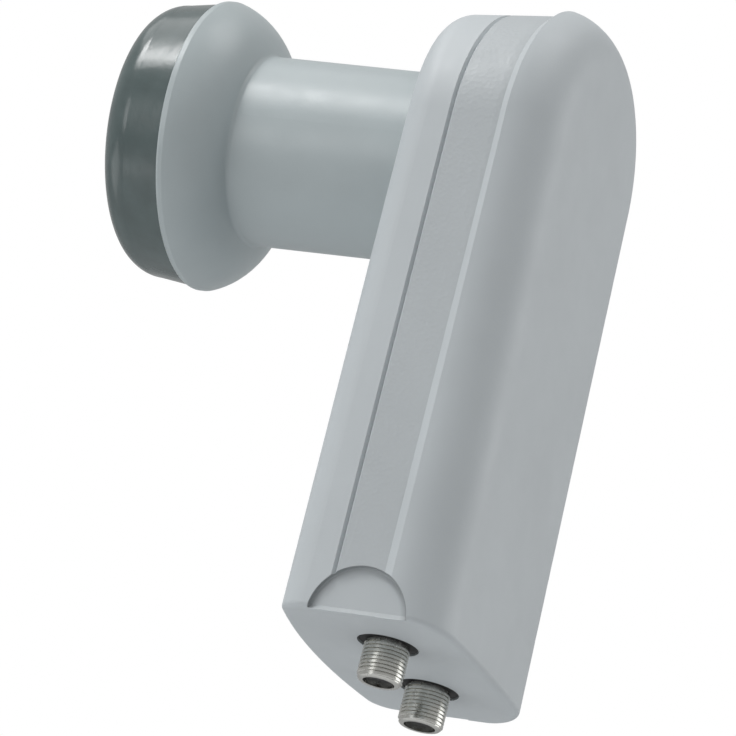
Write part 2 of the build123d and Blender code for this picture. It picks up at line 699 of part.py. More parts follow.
def voltage_regulators():
    """Regulator packages in the chambers above the outputs."""
    z = rib_heights()[1] - REGULATOR_DROP
    return [board_chip(REGULATOR_WIDTH, REGULATOR_HEIGHT, REGULATOR_THICKNESS, side * CAVITY_HALF / 2, z)
            for side in (-1, 1)]


def output_places():
    """X of the two outputs."""
    return [-OUTPUT_SPACING / 2, OUTPUT_SPACING / 2]


def output_body(x):
    """Plated output: hexagon flange on the well's floor, washer relief, barrel and a stub into the tray."""
    hexagon = RegularPolygon(FLANGE_ACROSS / 2, 6, major_radius=False)
    flange = extrude(Pos(x, OUTPUT_Y, FLANGE_FACE) * hexagon, FLANGE_THICKNESS)
    relief_end = WASHER_FACE - RELIEF_GAP
    barrel = bar_z(OUTPUT_R, OUTPUT_TIP, relief_end, x, OUTPUT_Y)
    barrel = chamfer(barrel.edges().sort_by(Axis.Z)[0], OUTPUT_CHAMFER)
    relief = bar_z(RELIEF_R, relief_end, FLANGE_FACE, x, OUTPUT_Y)
    stub = bar_z(STUB_R, WELL_FLOOR, CAVITY_FOOT, x, OUTPUT_Y)
    return flange + relief + barrel + stub - bar_z(OUTPUT_BORE_R, OUTPUT_TIP, CAVITY_FOOT, x, OUTPUT_Y)


def output_insulator(x):
    """Insulator that fills the output's bore round the contact, sunk below the rim."""
    start = OUTPUT_TIP + INSULATOR_SUNK
    sleeve = bar_z(OUTPUT_BORE_R - FIT, start, CAVITY_FOOT, x, OUTPUT_Y)
    return sleeve - bar_z(CONTACT_R + FIT, start, CAVITY_FOOT, x, OUTPUT_Y)


def output_contact(x):
    """Spring contact with a bent tail that is soldered to the board."""
    start = OUTPUT_TIP + INSULATOR_SUNK + OUTPUT_CHAMFER
    tube = bar_z(CONTACT_R, start, CAVITY_FOOT, x, OUTPUT_Y)
    tube -= bar_z(CONTACT_BORE_R, start, start + CONTACT_SOCKET, x, OUTPUT_Y)
    bend = CAVITY_FOOT + 2 * CONTACT_R
    points = [(x, OUTPUT_Y, CAVITY_FOOT), (x, OUTPUT_Y, bend), (x, BOARD_TOP, bend)]
    return tube + bent_wire(TAIL_R, points, 2 * TAIL_R)


def output_washer(x):
    """Rubber ring that fills the well over the flange."""
    ring = bar_z(WELL_R - SLIDE, WASHER_FACE, FLANGE_FACE, x, OUTPUT_Y)
    return ring - bar_z(RELIEF_R + FIT, WASHER_FACE, FLANGE_FACE, x, OUTPUT_Y)


def write(name, piece):
    """Write one piece, or a group of like pieces, as one file."""
    shape = Compound(piece) if isinstance(piece, list) else piece
    export_step(shape, f"parts/{name}.step")


def main():
    os.makedirs("parts", exist_ok=True)
    skin = case_skin()
    hollow = case_hollow()
    write("feed_cap", feed_cap())
    write("cap_seal", cap_seal())
    write("feed_horn", feed_horn())
    write("front_shell", front_shell(skin, hollow))
    write("rear_shell", rear_shell(skin, hollow))
    write("case_seal", case_seal())
    write("neck_seal", neck_seal())
    write("case_screws", case_screws())
    write("chassis", chassis())
    write("horn_screws", horn_screws())
    write("circuit_board", circuit_board())
    write("vertical_probe", probe(VERTICAL_PROBE_DEPTH, 0))
    write("horizontal_probe", probe(HORIZONTAL_PROBE_DEPTH, 90))
    write("vertical_sleeve", probe_sleeve(VERTICAL_PROBE_DEPTH, 0))
    write("horizontal_sleeve", probe_sleeve(HORIZONTAL_PROBE_DEPTH, 90))
    write("shield_cover", shield_cover())
    write("shield_screws", shield_screws())
    write("tuning_screws", tuning_screws())
    write("absorber_pads", absorber_pads())
    write("resonators", resonators())
    write("amplifier_transistors", amplifier_transistors())
    write("converter_chips", converter_chips())
    write("voltage_regulators", voltage_regulators())
    for side, x in zip(("left", "right"), output_places()):
        write(f"output_body_{side}", output_body(x))
        write(f"output_insulator_{side}", output_insulator(x))
        write(f"output_contact_{side}", output_contact(x))
        write(f"output_washer_{side}", output_washer(x))


main()
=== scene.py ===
"""Dressed satellite low-noise block: finishes, cut threads, screw heads and a small photo studio."""

import math

import bpy
from bpy.props import FloatProperty, FloatVectorProperty, IntProperty, PointerProperty
from mathutils import Matrix, Vector


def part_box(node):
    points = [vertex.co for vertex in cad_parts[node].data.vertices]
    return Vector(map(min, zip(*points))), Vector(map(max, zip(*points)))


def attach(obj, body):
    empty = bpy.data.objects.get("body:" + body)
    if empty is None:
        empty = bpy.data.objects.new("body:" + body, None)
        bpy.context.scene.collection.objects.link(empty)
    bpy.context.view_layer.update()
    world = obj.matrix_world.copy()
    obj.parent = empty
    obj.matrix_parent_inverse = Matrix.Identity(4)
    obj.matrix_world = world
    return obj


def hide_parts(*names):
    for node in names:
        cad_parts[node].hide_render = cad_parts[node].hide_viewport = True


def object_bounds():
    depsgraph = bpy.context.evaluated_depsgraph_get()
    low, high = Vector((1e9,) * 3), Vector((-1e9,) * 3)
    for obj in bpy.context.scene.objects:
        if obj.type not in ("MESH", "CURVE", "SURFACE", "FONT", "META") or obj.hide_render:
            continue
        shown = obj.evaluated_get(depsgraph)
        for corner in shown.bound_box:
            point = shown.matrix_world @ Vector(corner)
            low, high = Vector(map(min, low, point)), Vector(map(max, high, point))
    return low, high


bl_info = {
    "name": "Satellite Low-Noise Block",
    "version": (1, 0, 0),
    "blender": (4, 5, 0),
    "location": "View3D > Sidebar > LNB",
    "description": "Finishes, threads, screw heads and a studio for a satellite low-noise block",
    "category": "Object",
}

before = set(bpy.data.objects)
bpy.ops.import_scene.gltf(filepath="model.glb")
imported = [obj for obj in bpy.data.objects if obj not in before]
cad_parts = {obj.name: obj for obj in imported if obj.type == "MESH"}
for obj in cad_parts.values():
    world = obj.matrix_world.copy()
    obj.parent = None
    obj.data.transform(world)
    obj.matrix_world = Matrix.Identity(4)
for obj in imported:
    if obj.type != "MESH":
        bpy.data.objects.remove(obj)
CAD_LOW, CAD_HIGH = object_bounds()
MM = 0.001
SIDES = ("left", "right")

# Segments round turned pieces, and the angle up to which faces are shaded as one curve.
RING_STEPS = 64
HEAD_STEPS = 48
SHAFT_STEPS = 32
SMOOTH_ANGLE = math.radians(35)
# A thread ridge covers this share of its pitch, and sinks by this share of its depth into the core.
RIDGE_FOOT = 0.94
RIDGE_SUNK = 0.2
# Faces whose normal points further down than this lie on an underside.
UNDERSIDE = -0.5
# Noise textures seldom leave this range.
NOISE_LOW, NOISE_HIGH = 0.3, 0.7
# The roughness of a plain finish varies between these shares of its mean.
GLOSSIER, DULLER = 0.88, 1.14


def linear(hex_colour):
    """Turn an sRGB hex colour into linear red, green and blue."""
    channels = [int(hex_colour[i:i + 2], 16) / 255 for i in (1, 3, 5)]
    return tuple(c / 12.92 if c <= 0.04045 else ((c + 0.055) / 1.055) ** 2.4 for c in channels)


def length(name, description, millimetres):
    """A size that a user can change, kept in metres."""
    return FloatProperty(name=name, description=description, default=millimetres * MM, min=0.0,
                         precision=5, subtype="DISTANCE", unit="LENGTH")


def colour(name, description, hex_colour):
    """A colour that a user can change, kept in linear light."""
    return FloatVectorProperty(name=name, description=description, default=linear(hex_colour),
                               min=0.0, max=1.0, size=3, subtype="COLOR")


def turn(name, description, degrees):
    """An angle that a user can change, kept in radians."""
    return FloatProperty(name=name, description=description, default=math.radians(degrees), subtype="ANGLE")


def number(name, description, default):
    """A plain number that a user can change."""
    return FloatProperty(name=name, description=description, default=default)


class OutputSizes(bpy.types.PropertyGroup):
    """Sizes of the two threaded outputs."""

    outer: length("Thread Radius", "Radius over the thread's crests, 3/8 inch across", 4.76)
    pitch: length("Thread Pitch", "Distance between turns, 32 to the inch", 0.794)
    depth: length("Thread Depth", "Height of the thread ridge", 0.3)
    bore: length("Bore Radius", "Radius of the hole that holds the insulator", 3.3)
    chamfer: length("Tip Chamfer", "Bevel on the rim of the tip", 0.3)
    relief: length("Relief Radius", "Radius of the plain neck inside the washer", 4.2)
    relief_gap: length("Relief Gap", "Plain neck left between the washer and the thread", 0.3)
    across: length("Flange Across Flats", "Width of the hexagon flange", 10.4)
    flange: length("Flange Thickness", "Thickness of the hexagon flange", 1.6)
    flange_bevel: length("Flange Bevel", "Bevel on the flange's outer rim", 0.25)
    stub: length("Stub Radius", "Radius of the stub that goes into the case", 5.0)
    crest: number("Crest Share", "Width of a ridge's crest over its foot's", 0.6)
    steps: IntProperty(name="Thread Steps", description="Segments in one turn of thread", default=56, min=12)


class ScrewSizes(bpy.types.PropertyGroup):
    """Sizes of the two screws that close the case."""

    head: length("Head Radius", "Radius of the screw head", 2.6)
    head_height: length("Head Height", "Height of the screw head", 1.82)
    head_bevel: length("Head Rounding", "Rounding of the head's rim", 0.6)
    shaft: length("Shaft Radius", "Outer radius of the threaded shaft", 1.3)
    pitch: length("Thread Pitch", "Distance between turns", 1.1)
    depth: length("Thread Depth", "Height of the thread ridge", 0.3)
    crest: number("Crest Share", "Width of a ridge's crest over its foot's", 0.2)
    steps: IntProperty(name="Thread Steps", description="Segments in one turn of thread", default=24, min=12)
    tip: number("Tip Share", "Width of the shaft's tip over its core's", 0.3)
    recess: length("Recess Reach", "Length of each arm of the cross recess", 1.45)
    recess_width: length("Recess Width", "Width of each arm of the cross recess", 0.62)
    recess_depth: length("Recess Depth", "Depth of the cross recess", 1.1)
    recess_foot: number("Recess Foot", "Width of the recess at its foot over its mouth's", 0.45)


class CaseSizes(bpy.types.PropertyGroup):
    """Places on the case whose colour differs: the band behind the seam, with painted shade for its coarser
    grain, and the finger scoops, with painted shade along their walls.
    """

    band_start: length("Band Start", "Distance of the band behind the seam", 0.6)
    band_width: length("Band Width", "Width of the band, up to the step behind it", 10.0)
    foot_edge: length("Foot Edge", "Height above the foot at which the marks begin", 0.2)
    scoop: length("Scoop Radius", "Radius of the finger scoops", 10.6)
    scoop_back: length("Scoop Setback", "Distance of the scoops' centre behind the seam", 6.6)
    scoop_drop: length("Scoop Drop", "Distance of the scoops' centre below the foot", 0.5)
    # The next four set the painted shade along the scoops' walls, a darkening that stands for the shade in
    # the recesses.
    wall_shade: length("Wall Shade Width", "Width of the painted shade along a scoop's wall", 1.5)
    wall_shade_edge: length("Wall Shade Edge", "How far the painted shade reaches past a scoop's rim", 0.1)
    wall_shade_least: number("Least Wall Shade", "Share of painted shade on a scoop's floor", 0.15)
    wall_shade_strength: number("Wall Shade Strength", "How much darker the full painted shade makes the case", 0.42)
    band_shade: number("Band Shade", "How much darker the coarse grain makes the band", 0.13)


class FinishColours(bpy.types.PropertyGroup):
    """Colours of the finishes."""

    case: colour("Case", "Moulded light grey of both case shells", "#B6BCBF")
    horn: colour("Horn", "Painted grey of the bell and neck", "#A6AFB1")
    cap: colour("Cap", "Moulded dark grey of the feed cap", "#4F5B5B")
    nickel: colour("Nickel", "Plating of the outputs", "#C6C6C1")
    rubber: colour("Rubber", "Seals and washers", "#1B1C1D")
    sleeve: colour("Sleeve", "White probe sleeves", "#E4E3DC")
    resin: colour("Resin", "Black insulators of the outputs", "#2B2C2D")
    brass: colour("Brass", "Contacts, probes and tuning screws", "#C9A865")
    casting: colour("Bare Casting", "Chassis tray and shield", "#B9BBBC")
    zinc: colour("Zinc", "Plating of the screws", "#B4B6B5")
    laminate: colour("Laminate", "Circuit board", "#C7BC97")
    absorber: colour("Absorber", "Lossy sheets under the shield", "#2A2A2E")
    ceramic: colour("Ceramic", "Resonator pucks", "#CDB48C")
    epoxy: colour("Epoxy", "Moulded packages on the board", "#191A1B")


class StageSettings(bpy.types.PropertyGroup):
    """Camera, lamps and floor."""

    azimuth: turn("Camera Azimuth", "Turn of the camera round the object", 113.046)
    elevation: turn("Camera Elevation", "Height of the camera, below the horizon here", -17.83)
    roll: turn("Camera Roll", "Turn of the camera about its own line of sight", 14.244)
    eye: FloatVectorProperty(name="Camera Place", description="Where the camera stands", size=3,
                             default=(1.36648, 0.59693, -0.52276), subtype="TRANSLATION", unit="LENGTH")
    lens: number("Camera Lens", "Focal length in millimetres", 369.54)
    sensor: number("Camera Sensor", "Sensor width in millimetres", 36.0)
    nearest: length("Clip Start", "Nearest distance that the camera shows", 10.0)
    floor_drop: length("Floor Drop", "Depth of the floor below the origin, under the camera too", 700.0)
    floor_width: length("Floor Width", "Side of the square floor", 12000.0)
    floor_white: number("Floor White", "Share of plain white that the camera sees on the floor", 0.85)
    floor: colour("Floor", "Plain pale floor", "#E6E7E8")
    fill: number("Fill", "Strength of the even light from all round", 0.44)
    mirrored: number("Mirrored", "Brightness of the surround in reflections", 0.49)


def add_node(tree, kind, settings=None, links=None):
    """Add a node: settings go to its attributes or sockets, and links join its inputs to other outputs."""
    node = tree.nodes.new(kind)
    for key, value in (settings or {}).items():
        if isinstance(key, str) and hasattr(node, key):
            setattr(node, key, value)
        else:
            node.inputs[key].default_value = value
    for socket, (source, output) in (links or {}).items():
        tree.links.new(source.outputs[output], node.inputs[socket])
    return node


def start_material(name, base, roughness, metallic=0.0, **sockets):
    """A named material with a Principled shader, and the node that gives Object coordinates."""
    material = bpy.data.materials.new(name)
    material.use_nodes = True
    tree = material.node_tree
    tree.nodes.clear()
    place = add_node(tree, "ShaderNodeTexCoord")
    settings = {"Base Color": (*base, 1.0), "Roughness": roughness, "Metallic": metallic}
    settings.update({key.replace("_", " "): value for key, value in sockets.items()})
    shader = add_node(tree, "ShaderNodeBsdfPrincipled", settings)
    add_node(tree, "ShaderNodeOutputMaterial", links={"Surface": (shader, "BSDF")})
    material.diffuse_color = (*base, 1.0)
    return material, tree, place, shader


def mottle(tree, place, shader, base, size, amount, detail=3.0):
    """Let the colour drift a little lighter and darker over patches of the given size."""
    noise = add_node(tree, "ShaderNodeTexNoise", {"Scale": 1 / size, "Detail": detail},
                     {"Vector": (place, "Object")})
    ramp = add_node(tree, "ShaderNodeValToRGB", links={"Fac": (noise, "Fac")})
    for stop, share in zip(ramp.color_ramp.elements, (1 - amount, 1 + amount)):
        stop.color = (*[min(channel * share, 1.0) for channel in base], 1.0)
    ramp.color_ramp.elements[0].position = NOISE_LOW
    ramp.color_ramp.elements[1].position = NOISE_HIGH
    tree.links.new(ramp.outputs["Color"], shader.inputs["Base Color"])
    return ramp


def roughen(tree, place, shader, size, low, high):
    """Let the roughness vary between two values over patches of the given size."""
    noise = add_node(tree, "ShaderNodeTexNoise", {"Scale": 1 / size, "Detail": 2.0},
                     {"Vector": (place, "Object")})
    spread = add_node(tree, "ShaderNodeMapRange", {"From Min": NOISE_LOW, "From Max": NOISE_HIGH,
                                                   "To Min": low, "To Max": high}, {"Value": (noise, "Fac")})
    tree.links.new(spread.outputs["Result"], shader.inputs["Roughness"])


def grain(tree, place, shader, size, height):
    """Raise fine bumps of the given size and height."""
    noise = add_node(tree, "ShaderNodeTexNoise", {"Scale": 1 / size, "Detail": 2.0},
                     {"Vector": (place, "Object")})
    bump = add_node(tree, "ShaderNodeBump", {"Strength": 1.0, "Distance": height}, {"Height": (noise, "Fac")})
    tree.links.new(bump.outputs["Normal"], shader.inputs["Normal"])
    return bump


def case_marks(tree, place, sizes):
    """Masks from the place on the case: the band behind the seam, and the painted shade along the scoops'
    walls.
    """
    low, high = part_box("front_shell")
    seam, foot = high.y, low.z
    scoop_centre = (0, seam + sizes.scoop_back, foot - sizes.scoop_drop)
    both = {"operation": "MULTIPLY"}  # the product of two masks holds where both do
    axes = add_node(tree, "ShaderNodeSeparateXYZ", links={"Vector": (place, "Object")})
    side = add_node(tree, "ShaderNodeCombineXYZ", links={"Y": (axes, "Y"), "Z": (axes, "Z")})
    reach = add_node(tree, "ShaderNodeVectorMath", {"operation": "DISTANCE", 1: scoop_centre},
                     {0: (side, "Vector")})
    above = add_node(tree, "ShaderNodeMath", {"operation": "GREATER_THAN", 1: foot + sizes.foot_edge},
                     {0: (axes, "Z")})
    between = add_node(tree, "ShaderNodeMath", {"operation": "COMPARE", 2: sizes.band_width / 2,
                                                1: seam + sizes.band_start + sizes.band_width / 2},
                       {0: (axes, "Y")})
    beside = add_node(tree, "ShaderNodeMath", {"operation": "GREATER_THAN", 1: sizes.scoop},
                      {0: (reach, "Value")})
    clear = add_node(tree, "ShaderNodeMath", both, {0: (above, "Value"), 1: (beside, "Value")})
    band = add_node(tree, "ShaderNodeMath", both, {0: (between, "Value"), 1: (clear, "Value")})
    # Painted shade: a little all over a scoop and most along its wall, where shade falls in the recess.
    wall_shade_start = sizes.scoop - sizes.wall_shade
    wall_shade_ramp = add_node(tree, "ShaderNodeMapRange", {"From Min": wall_shade_start, "From Max": sizes.scoop,
                                                     "To Min": sizes.wall_shade_least}, {"Value": (reach, "Value")})
    in_scoop = add_node(tree, "ShaderNodeMath", {"operation": "LESS_THAN", 1: sizes.scoop + sizes.wall_shade_edge},
                        {0: (reach, "Value")})
    scoop_above_foot = add_node(tree, "ShaderNodeMath", both, {0: (above, "Value"), 1: (in_scoop, "Value")})
    wall_shade = add_node(tree, "ShaderNodeMath", both, {0: (wall_shade_ramp, "Result"), 1: (scoop_above_foot, "Value")})
    return band, wall_shade


def case_finish(colours, sizes):
    """Injection-moulded ABS: light grey, matt from a spark-eroded mould, and coarser on the band."""
    material, tree, place, shader = start_material("moulded_light_grey_abs", colours.case,
                                                   roughness=0.48, IOR=1.53)
    tone = mottle(tree, place, shader, colours.case, size=22 * MM, amount=0.025)
    roughen(tree, place, shader, size=6 * MM, low=0.44, high=0.54)
    band, wall_shade = case_marks(tree, place, sizes)
    # Painted shade: the band's colour is made darker for the small shadows that its coarser grain throws.
    shade = add_node(tree, "ShaderNodeMath", {"operation": "MULTIPLY_ADD", 1: -sizes.band_shade, 2: 1.0},
                     {0: (band, "Value")})
    # Painted shade along the scoops' walls darkens the colour further.
    shade = add_node(tree, "ShaderNodeMath", {"operation": "MULTIPLY_ADD", 1: -sizes.wall_shade_strength},
                     {0: (wall_shade, "Value"), 2: (shade, "Value")})
    darker = add_node(tree, "ShaderNodeHueSaturation",
                      links={"Color": (tone, "Color"), "Value": (shade, "Value")})
    tree.links.new(darker.outputs["Color"], shader.inputs["Base Color"])
    # Real mould grain is near 0.1 mm, too fine to show: it is drawn at 0.45 mm, and at 0.9 mm on the band.
    bump = grain(tree, place, shader, size=0.45 * MM, height=0.012 * MM)
    pits = add_node(tree, "ShaderNodeTexVoronoi", {"Scale": 1 / (0.9 * MM)}, {"Vector": (place, "Object")})
    stipple = add_node(tree, "ShaderNodeMath", {"operation": "MULTIPLY"},
                       {0: (pits, "Distance"), 1: (band, "Value")})
    stipple_bump = add_node(tree, "ShaderNodeBump", {"Strength": 1.0, "Distance": 0.05 * MM},
                            {"Height": (stipple, "Value"), "Normal": (bump, "Normal")})
    tree.links.new(stipple_bump.outputs["Normal"], shader.inputs["Normal"])
    return material


def horn_finish(colours):
    """Baked paint on a die casting: semi-gloss, with the soft waves of sprayed paint."""
    material, tree, place, shader = start_material("painted_die_casting", colours.horn,
                                                   roughness=0.36, IOR=1.5)
    mottle(tree, place, shader, colours.horn, size=18 * MM, amount=0.03)
    roughen(tree, place, shader, size=5 * MM, low=0.32, high=0.42)
    grain(tree, place, shader, size=1.4 * MM, height=0.02 * MM)
    return material


def cap_finish(colours):
    """Moulded polypropylene: dark grey and waxy, with faint flow marks and a soft gloss."""
    material, tree, place, shader = start_material("moulded_dark_grey_polypropylene", colours.cap,
                                                   roughness=0.2, IOR=1.49)
    mottle(tree, place, shader, colours.cap, size=5 * MM, amount=0.09, detail=4.0)
    roughen(tree, place, shader, size=4 * MM, low=0.18, high=0.24)
    grain(tree, place, shader, size=1.8 * MM, height=0.03 * MM)
    return material


def nickel_finish(colours):
    """Nickel plate on turned brass: bright metal with soft rings from the lathe and dull spots."""
    material, tree, place, shader = start_material("nickel_plated_brass", colours.nickel,
                                                   roughness=0.2, metallic=1.0)
    mottle(tree, place, shader, colours.nickel, size=2.5 * MM, amount=0.06)
    roughen(tree, place, shader, size=1.5 * MM, low=0.16, high=0.3)
    # Lathe marks lie a few hundredths of a millimetre apart, too fine to show: they are drawn 1.57 mm apart.
    # The wave node at a scale of 1 makes 20 waves in a length of tau.
    rings = add_node(tree, "ShaderNodeTexWave", {"wave_type": "BANDS", "bands_direction": "Z",
                                                 "Scale": math.tau / 20 / (1.57 * MM), "Distortion": 1.5},
                     {"Vector": (place, "Object")})
    bump = add_node(tree, "ShaderNodeBump", {"Strength": 0.4, "Distance": 0.006 * MM},
                    {"Height": (rings, "Fac")})
    tree.links.new(bump.outputs["Normal"], shader.inputs["Normal"])
    return material


def plain_finish(name, base, roughness, patch, drift, bump_size, bump_height, metallic=0.0, **sockets):
    """A finish with drifting colour, uneven gloss and fine relief, for the pieces that need no more."""
    material, tree, place, shader = start_material(name, base, roughness, metallic, **sockets)
    mottle(tree, place, shader, base, size=patch, amount=drift)
    roughen(tree, place, shader, size=patch / 2, low=roughness * GLOSSIER, high=min(roughness * DULLER, 1.0))
    grain(tree, place, shader, size=bump_size, height=bump_height)
    return material


def dress(material, *nodes):
    """Give CAD nodes a material in all their slots."""
    for name in nodes:
        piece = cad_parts[name]
        if not piece.material_slots:
            piece.data.materials.append(material)
        for holder in piece.material_slots:
            holder.material = material


def deselect():
    """Leave edit mode and select nothing."""
    if bpy.context.object and bpy.context.object.mode != "OBJECT":
        bpy.ops.object.mode_set(mode="OBJECT")
    bpy.ops.object.select_all(action="DESELECT")


def active():
    """The object that the last operator made."""
    return bpy.context.view_layer.objects.active


def select_faces(test):
    """In edit mode, select the faces whose centre and normal pass a test."""
    bpy.ops.object.mode_set(mode="OBJECT")
    mesh = active().data
    for edge in mesh.edges:
        edge.select = False
    for vertex in mesh.vertices:
        vertex.select = False
    for face in mesh.polygons:
        face.select = test(face.center, face.normal)
    bpy.ops.object.mode_set(mode="EDIT")
    bpy.ops.mesh.select_mode(type="FACE")


def select_edges(test):
    """In edit mode, select the edges whose two end points pass a test."""
    bpy.ops.object.mode_set(mode="OBJECT")
    mesh = active().data
    for face in mesh.polygons:
        face.select = False
    for vertex in mesh.vertices:
        vertex.select = False
    for edge in mesh.edges:
        edge.select = test(*[mesh.vertices[i].co for i in edge.vertices])
    bpy.ops.object.mode_set(mode="EDIT")
    bpy.ops.mesh.select_mode(type="EDGE")


def settle(piece):
    """Put an object's place, turn and scale into its mesh."""
    deselect()
    piece.select_set(True)
    bpy.context.view_layer.objects.active = piece
    bpy.ops.object.transform_apply(location=True, rotation=True, scale=True)


def apply_modifier(piece, kind, **settings):
    """Add a modifier to a piece and apply it."""
    bpy.context.view_layer.objects.active = piece
    modifier = piece.modifiers.new(kind.title(), kind)
    for key, value in settings.items():
        setattr(modifier, key, value)
    bpy.ops.object.modifier_apply(modifier=modifier.name)


def merge(name, pieces, material):
    """Join pieces into one named object with one material and smooth rounded faces."""
    for piece in pieces:
        settle(piece)
    deselect()
    for piece in pieces:
        piece.select_set(True)
    bpy.context.view_layer.objects.active = pieces[0]
    bpy.ops.object.join()
    whole = active()
    whole.name = name
    whole.data.name = name
    whole.data.materials.clear()
    whole.data.materials.append(material)
    bpy.ops.object.shade_smooth_by_angle(angle=SMOOTH_ANGLE)
    deselect()
    return whole


def turned_solid(x, y, outline):
    """Solid turned about an upright axis: a ring is extruded from point to point of a closed outline."""
    deselect()
    start_radius, start_height = outline[0]
    bpy.ops.mesh.primitive_circle_add(vertices=RING_STEPS, radius=start_radius, location=(x, y, start_height))
    solid = active()
    settle(solid)
    bpy.ops.object.mode_set(mode="EDIT")
    bpy.ops.mesh.select_all(action="SELECT")
    for (old_radius, old_height), (radius, height) in zip(outline, (*outline[1:], outline[0])):
        bpy.ops.mesh.extrude_edges_move(TRANSFORM_OT_translate={"value": (0, 0, height - old_height)})
        share = radius / old_radius
        bpy.ops.transform.resize(value=(share, share, 1), center_override=(x, y, height))
    close_up(start_radius / 1000)
    return solid


def close_up(gap):
    """In edit mode, join points that lie together and turn all faces outwards; then leave edit mode."""
    bpy.ops.mesh.select_all(action="SELECT")
    bpy.ops.mesh.remove_doubles(threshold=gap)
    bpy.ops.mesh.normals_make_consistent(inside=False)
    bpy.ops.object.mode_set(mode="OBJECT")


def thread_coil(root, depth, pitch, turns, steps, crest):
    """One ridge of thread that winds up the Z axis from the origin, its crest a share of its foot's width."""
    deselect()
    # The ridge's section stands on the root, with its foot a little inside the core.
    bpy.ops.mesh.primitive_plane_add(size=1.0, location=(root + (1 - RIDGE_SUNK) / 2 * depth, 0, 0),
                                     rotation=(math.pi / 2, 0, 0))
    coil = active()
    coil.scale = ((1 + RIDGE_SUNK) * depth, RIDGE_FOOT * pitch, 1)
    settle(coil)
    bpy.ops.object.mode_set(mode="EDIT")
    bpy.ops.mesh.select_all(action="SELECT")
    bpy.ops.mesh.delete(type="ONLY_FACE")
    select_edges(lambda a, b: min(a.x, b.x) > root)
    bpy.ops.transform.resize(value=(1, 1, crest), center_override=(root + depth, 0, 0))
    bpy.ops.object.mode_set(mode="OBJECT")
    apply_modifier(coil, "SCREW", axis="Z", angle=math.tau, screw_offset=pitch, iterations=turns,
                   steps=steps, render_steps=steps, use_merge_vertices=False, use_smooth_shade=False)
    bpy.ops.object.mode_set(mode="EDIT")
    bpy.ops.mesh.select_all(action="SELECT")
    bpy.ops.mesh.remove_doubles(threshold=pitch / 500)
    bpy.ops.mesh.fill_holes(sides=4)
    close_up(pitch / 500)
    return coil


class LNB_OT_outputs(bpy.types.Operator):
    """Turn the two outputs and cut their threads"""

    bl_idname = "lnb.outputs"
    bl_label = "Threaded Outputs"

    def execute(self, context):
        sizes = context.scene.lnb_outputs
        material = nickel_finish(context.scene.lnb_colours)
        for side in SIDES:
            node = f"output_body_{side}"
            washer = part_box(f"output_washer_{side}")
            whole = self.output(sizes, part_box(node), washer, material, f"threaded_output_{side}")
            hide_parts(node)
            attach(whole, "root")
        return {"FINISHED"}

    def output(self, sizes, body, washer, material, name):
        """One output from its tip to its inner end, with the flange behind the washer."""
        (low, high), (washer_low, washer_high) = body, washer
        x = (low.x + high.x) / 2
        y = (low.y + high.y) / 2
        root = sizes.outer - sizes.depth
        thread_end = washer_low.z - sizes.relief_gap
        flange_back = washer_high.z + sizes.flange
        outline = ((sizes.bore, low.z), (root - sizes.chamfer, low.z), (root, low.z + sizes.chamfer),
                   (root, thread_end), (sizes.relief, thread_end), (sizes.relief, flange_back),
                   (sizes.stub, flange_back), (sizes.stub, high.z), (sizes.bore, high.z))
        core = turned_solid(x, y, outline)
        # The thread leaves at least a pitch free at the tip, and its last ridge touches the relief.
        turns = int((thread_end - low.z) / sizes.pitch - 1)
        coil = thread_coil(root, sizes.depth, sizes.pitch, turns, sizes.steps, sizes.crest)
        coil.location = (x, y, thread_end - (turns + 0.5) * sizes.pitch)
        flange = self.flange(sizes, x, y, washer_high.z, flange_back)
        return merge(name, [core, coil, flange], material)

    def flange(self, sizes, x, y, face, back):
        """Hexagon flange with a bevelled outer rim and a hole for the relief."""
        deselect()
        bpy.ops.mesh.primitive_cylinder_add(vertices=6, radius=sizes.across / math.sqrt(3),
                                            depth=back - face, location=(x, y, (face + back) / 2))
        flange = active()
        settle(flange)
        bpy.ops.object.mode_set(mode="EDIT")
        select_edges(lambda a, b: max(a.z, b.z) < face + sizes.flange_bevel / 10)
        bpy.ops.mesh.bevel(offset=sizes.flange_bevel, segments=2)
        bpy.ops.object.mode_set(mode="OBJECT")
        hole = turned_solid(x, y, ((sizes.bore, face - sizes.flange), (sizes.relief, face - sizes.flange),
                                   (sizes.relief, back + sizes.flange), (sizes.bore, back + sizes.flange)))
        apply_modifier(flange, "BOOLEAN", operation="DIFFERENCE", object=hole, solver="EXACT")
        bpy.data.objects.remove(hole)
        return flange


